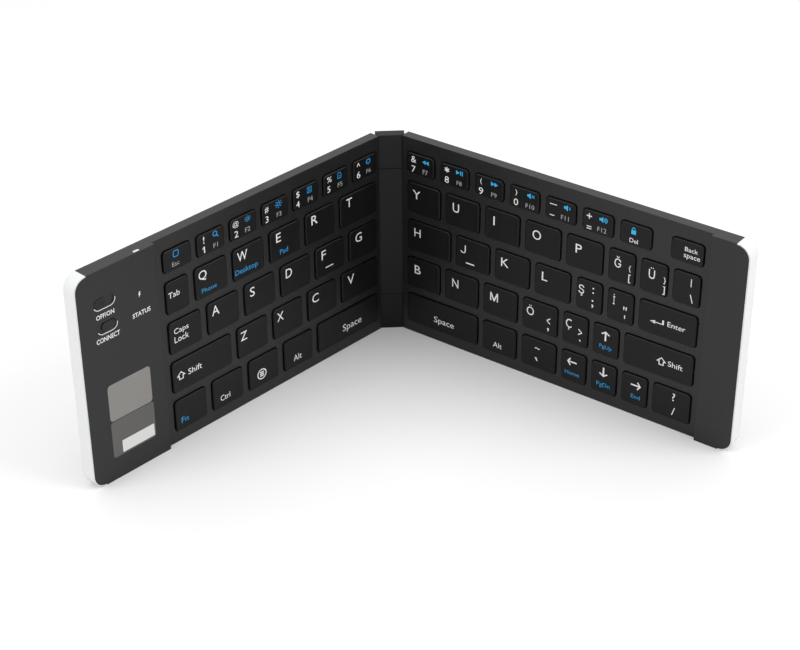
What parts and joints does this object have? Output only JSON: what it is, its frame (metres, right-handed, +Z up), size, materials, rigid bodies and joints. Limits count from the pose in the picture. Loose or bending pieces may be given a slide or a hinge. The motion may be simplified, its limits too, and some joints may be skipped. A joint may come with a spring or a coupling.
{
  "type": "folding keyboard",
  "caption": "Thin folding keyboard of two key halves on a narrow spine, with scissor keys, thick end sections, a power slider and a connect button.",
  "frame": {"origin": "middle of the footprint of the open keyboard, at the level of the long near edge it stands on", "axes": "+Z up, from the near edge to the far edge; +X to the right for someone facing the keys; +Y from the open side of the V towards the spine"},
  "size_m": [0.2356, 0.109, 0.0853],
  "materials": {
    "keycap_plastic": "matt black moulded plastic",
    "white_shell": "smooth white moulded plastic",
    "control_plastic": "matt black moulded plastic",
    "frame_plastic": "fine matt dark grey plastic",
    "spine_plastic": "fine matt dark grey plastic",
    "plate_steel": "plain rolled sheet",
    "hinge_steel": "dark grey painted steel",
    "bright_steel": "turned and plated steel",
    "magnet_metal": "nickel plated",
    "dome_rubber": "milky silicone",
    "lever_plastic": "natural white nylon",
    "foot_rubber": "dark grey rubber",
    "board_laminate": "green lacquered laminate",
    "battery_foil": "matt foil pouch",
    "light_window": "milky white light window",
    "cable_film": "amber film"
  },
  "bodies": {
    "spine": {"spine_core": "spine_plastic", "spine_front_cover": "spine_plastic", "spine_back_cover": "spine_plastic", "hinge_caps": "spine_plastic", "hinge_pins": "bright_steel", "flex_cable": "cable_film"},
    "left_half": {"left_back_shell": "white_shell", "left_key_frame": "frame_plastic", "left_end_cover": "frame_plastic", "left_support_plate": "plate_steel", "left_dome_sheet": "dome_rubber", "left_scissors": "lever_plastic", "left_hinge_leaves": "hinge_steel", "left_leaf_screws": "bright_steel", "left_feet": "foot_rubber", "left_magnets": "magnet_metal", "main_board": "board_laminate", "board_switches": "bright_steel", "battery": "battery_foil", "status_light": "light_window", "charging_port": "bright_steel"},
    "right_half": {"right_back_shell": "white_shell", "right_key_frame": "frame_plastic", "right_end_cover": "frame_plastic", "right_support_plate": "plate_steel", "right_dome_sheet": "dome_rubber", "right_scissors": "lever_plastic", "right_hinge_leaves": "hinge_steel", "right_leaf_screws": "bright_steel", "right_feet": "foot_rubber", "right_magnets": "magnet_metal"},
    "slider": {"power_slider": "control_plastic"},
    "button": {"connect_button": "control_plastic"},
    "esc_key_body": {"esc_key": "keycap_plastic"},
    "tab_key_body": {"tab_key": "keycap_plastic"},
    "caps_lock_key_body": {"caps_lock_key": "keycap_plastic"},
    "left_shift_key_body": {"left_shift_key": "keycap_plastic"},
    "fn_key_body": {"fn_key": "keycap_plastic"},
    "ctrl_key_body": {"ctrl_key": "keycap_plastic"},
    "system_key_body": {"system_key": "keycap_plastic"},
    "left_alt_key_body": {"left_alt_key": "keycap_plastic"},
    "left_space_key_body": {"left_space_key": "keycap_plastic"},
    "left_number_keys_body": {"left_number_keys": "keycap_plastic"},
    "left_top_letter_keys_body": {"left_top_letter_keys": "keycap_plastic"},
    "left_home_letter_keys_body": {"left_home_letter_keys": "keycap_plastic"},
    "left_low_letter_keys_body": {"left_low_letter_keys": "keycap_plastic"},
    "delete_key_body": {"delete_key": "keycap_plastic"},
    "backspace_key_body": {"backspace_key": "keycap_plastic"},
    "enter_key_body": {"enter_key": "keycap_plastic"},
    "right_shift_key_body": {"right_shift_key": "keycap_plastic"},
    "right_space_key_body": {"right_space_key": "keycap_plastic"},
    "right_alt_key_body": {"right_alt_key": "keycap_plastic"},
    "tilde_key_body": {"tilde_key": "keycap_plastic"},
    "slash_key_body": {"slash_key": "keycap_plastic"},
    "arrow_keys_body": {"arrow_keys": "keycap_plastic"},
    "right_number_keys_body": {"right_number_keys": "keycap_plastic"},
    "right_top_letter_keys_body": {"right_top_letter_keys": "keycap_plastic"},
    "right_home_letter_keys_body": {"right_home_letter_keys": "keycap_plastic"},
    "right_low_letter_keys_body": {"right_low_letter_keys": "keycap_plastic"}
  },
  "joints": [
    {"name": "left_fold", "type": "hinge", "parent": "spine", "child": "left_half", "pos_m": [-0.00623, 0.0518, 0.04265], "axis": [0, 0, 1], "range_deg": [-43.5, 46.5], "deforming": ["flex_cable"]},
    {"name": "right_fold", "type": "hinge", "parent": "spine", "child": "right_half", "pos_m": [-0.00013, 0.0518, 0.04265], "axis": [0, 0, -1], "range_deg": [-39.8, 50.2]},
    {"name": "power_slide", "type": "slide", "parent": "left_half", "child": "slider", "axis": [0.7254, 0.6884, 0], "range_m": [0, 0.0033]},
    {"name": "connect_press", "type": "slide", "parent": "left_half", "child": "button", "axis": [-0.6884, 0.7254, 0], "range_m": [0, 0.00025], "stiffness_N_per_m": 2000},
    {"name": "esc_key_press", "type": "slide", "parent": "left_half", "child": "esc_key_body", "axis": [-0.6884, 0.7254, 0], "range_m": [0, 0.0012], "stiffness_N_per_m": 500},
    {"name": "tab_key_press", "type": "slide", "parent": "left_half", "child": "tab_key_body", "axis": [-0.6884, 0.7254, 0], "range_m": [0, 0.0012], "stiffness_N_per_m": 500},
    {"name": "caps_lock_key_press", "type": "slide", "parent": "left_half", "child": "caps_lock_key_body", "axis": [-0.6884, 0.7254, 0], "range_m": [0, 0.0012], "stiffness_N_per_m": 500},
    {"name": "left_shift_key_press", "type": "slide", "parent": "left_half", "child": "left_shift_key_body", "axis": [-0.6884, 0.7254, 0], "range_m": [0, 0.0012], "stiffness_N_per_m": 500},
    {"name": "fn_key_press", "type": "slide", "parent": "left_half", "child": "fn_key_body", "axis": [-0.6884, 0.7254, 0], "range_m": [0, 0.0012], "stiffness_N_per_m": 500},
    {"name": "ctrl_key_press", "type": "slide", "parent": "left_half", "child": "ctrl_key_body", "axis": [-0.6884, 0.7254, 0], "range_m": [0, 0.0012], "stiffness_N_per_m": 500},
    {"name": "system_key_press", "type": "slide", "parent": "left_half", "child": "system_key_body", "axis": [-0.6884, 0.7254, 0], "range_m": [0, 0.0012], "stiffness_N_per_m": 500},
    {"name": "left_alt_key_press", "type": "slide", "parent": "left_half", "child": "left_alt_key_body", "axis": [-0.6884, 0.7254, 0], "range_m": [0, 0.0012], "stiffness_N_per_m": 500},
    {"name": "left_space_key_press", "type": "slide", "parent": "left_half", "child": "left_space_key_body", "axis": [-0.6884, 0.7254, 0], "range_m": [0, 0.0012], "stiffness_N_per_m": 500},
    {"name": "left_number_keys_press", "type": "slide", "parent": "left_half", "child": "left_number_keys_body", "axis": [-0.6884, 0.7254, 0], "range_m": [0, 0.0012], "stiffness_N_per_m": 1500, "deforming": ["left_dome_sheet", "left_scissors"]},
    {"name": "left_top_letter_keys_press", "type": "slide", "parent": "left_half", "child": "left_top_letter_keys_body", "axis": [-0.6884, 0.7254, 0], "range_m": [0, 0.0012], "stiffness_N_per_m": 1500},
    {"name": "left_home_letter_keys_press", "type": "slide", "parent": "left_half", "child": "left_home_letter_keys_body", "axis": [-0.6884, 0.7254, 0], "range_m": [0, 0.0012], "stiffness_N_per_m": 1500},
    {"name": "left_low_letter_keys_press", "type": "slide", "parent": "left_half", "child": "left_low_letter_keys_body", "axis": [-0.6884, 0.7254, 0], "range_m": [0, 0.0012], "stiffness_N_per_m": 1500},
    {"name": "delete_key_press", "type": "slide", "parent": "right_half", "child": "delete_key_body", "axis": [0.6401, 0.7683, 0], "range_m": [0, 0.0012], "stiffness_N_per_m": 500},
    {"name": "backspace_key_press", "type": "slide", "parent": "right_half", "child": "backspace_key_body", "axis": [0.6401, 0.7683, 0], "range_m": [0, 0.0012], "stiffness_N_per_m": 500},
    {"name": "enter_key_press", "type": "slide", "parent": "right_half", "child": "enter_key_body", "axis": [0.6401, 0.7683, 0], "range_m": [0, 0.0012], "stiffness_N_per_m": 500},
    {"name": "right_shift_key_press", "type": "slide", "parent": "right_half", "child": "right_shift_key_body", "axis": [0.6401, 0.7683, 0], "range_m": [0, 0.0012], "stiffness_N_per_m": 500},
    {"name": "right_space_key_press", "type": "slide", "parent": "right_half", "child": "right_space_key_body", "axis": [0.6401, 0.7683, 0], "range_m": [0, 0.0012], "stiffness_N_per_m": 500},
    {"name": "right_alt_key_press", "type": "slide", "parent": "right_half", "child": "right_alt_key_body", "axis": [0.6401, 0.7683, 0], "range_m": [0, 0.0012], "stiffness_N_per_m": 500},
    {"name": "tilde_key_press", "type": "slide", "parent": "right_half", "child": "tilde_key_body", "axis": [0.6401, 0.7683, 0], "range_m": [0, 0.0012], "stiffness_N_per_m": 500},
    {"name": "slash_key_press", "type": "slide", "parent": "right_half", "child": "slash_key_body", "axis": [0.6401, 0.7683, 0], "range_m": [0, 0.0012], "stiffness_N_per_m": 500},
    {"name": "arrow_keys_press", "type": "slide", "parent": "right_half", "child": "arrow_keys_body", "axis": [0.6401, 0.7683, 0], "range_m": [0, 0.0012], "stiffness_N_per_m": 1500},
    {"name": "right_number_keys_press", "type": "slide", "parent": "right_half", "child": "right_number_keys_body", "axis": [0.6401, 0.7683, 0], "range_m": [0, 0.0012], "stiffness_N_per_m": 1500, "deforming": ["right_dome_sheet", "right_scissors"]},
    {"name": "right_top_letter_keys_press", "type": "slide", "parent": "right_half", "child": "right_top_letter_keys_body", "axis": [0.6401, 0.7683, 0], "range_m": [0, 0.0012], "stiffness_N_per_m": 1500},
    {"name": "right_home_letter_keys_press", "type": "slide", "parent": "right_half", "child": "right_home_letter_keys_body", "axis": [0.6401, 0.7683, 0], "range_m": [0, 0.0012], "stiffness_N_per_m": 1500},
    {"name": "right_low_letter_keys_press", "type": "slide", "parent": "right_half", "child": "right_low_letter_keys_body", "axis": [0.6401, 0.7683, 0], "range_m": [0, 0.0012], "stiffness_N_per_m": 1500}
  ]
}
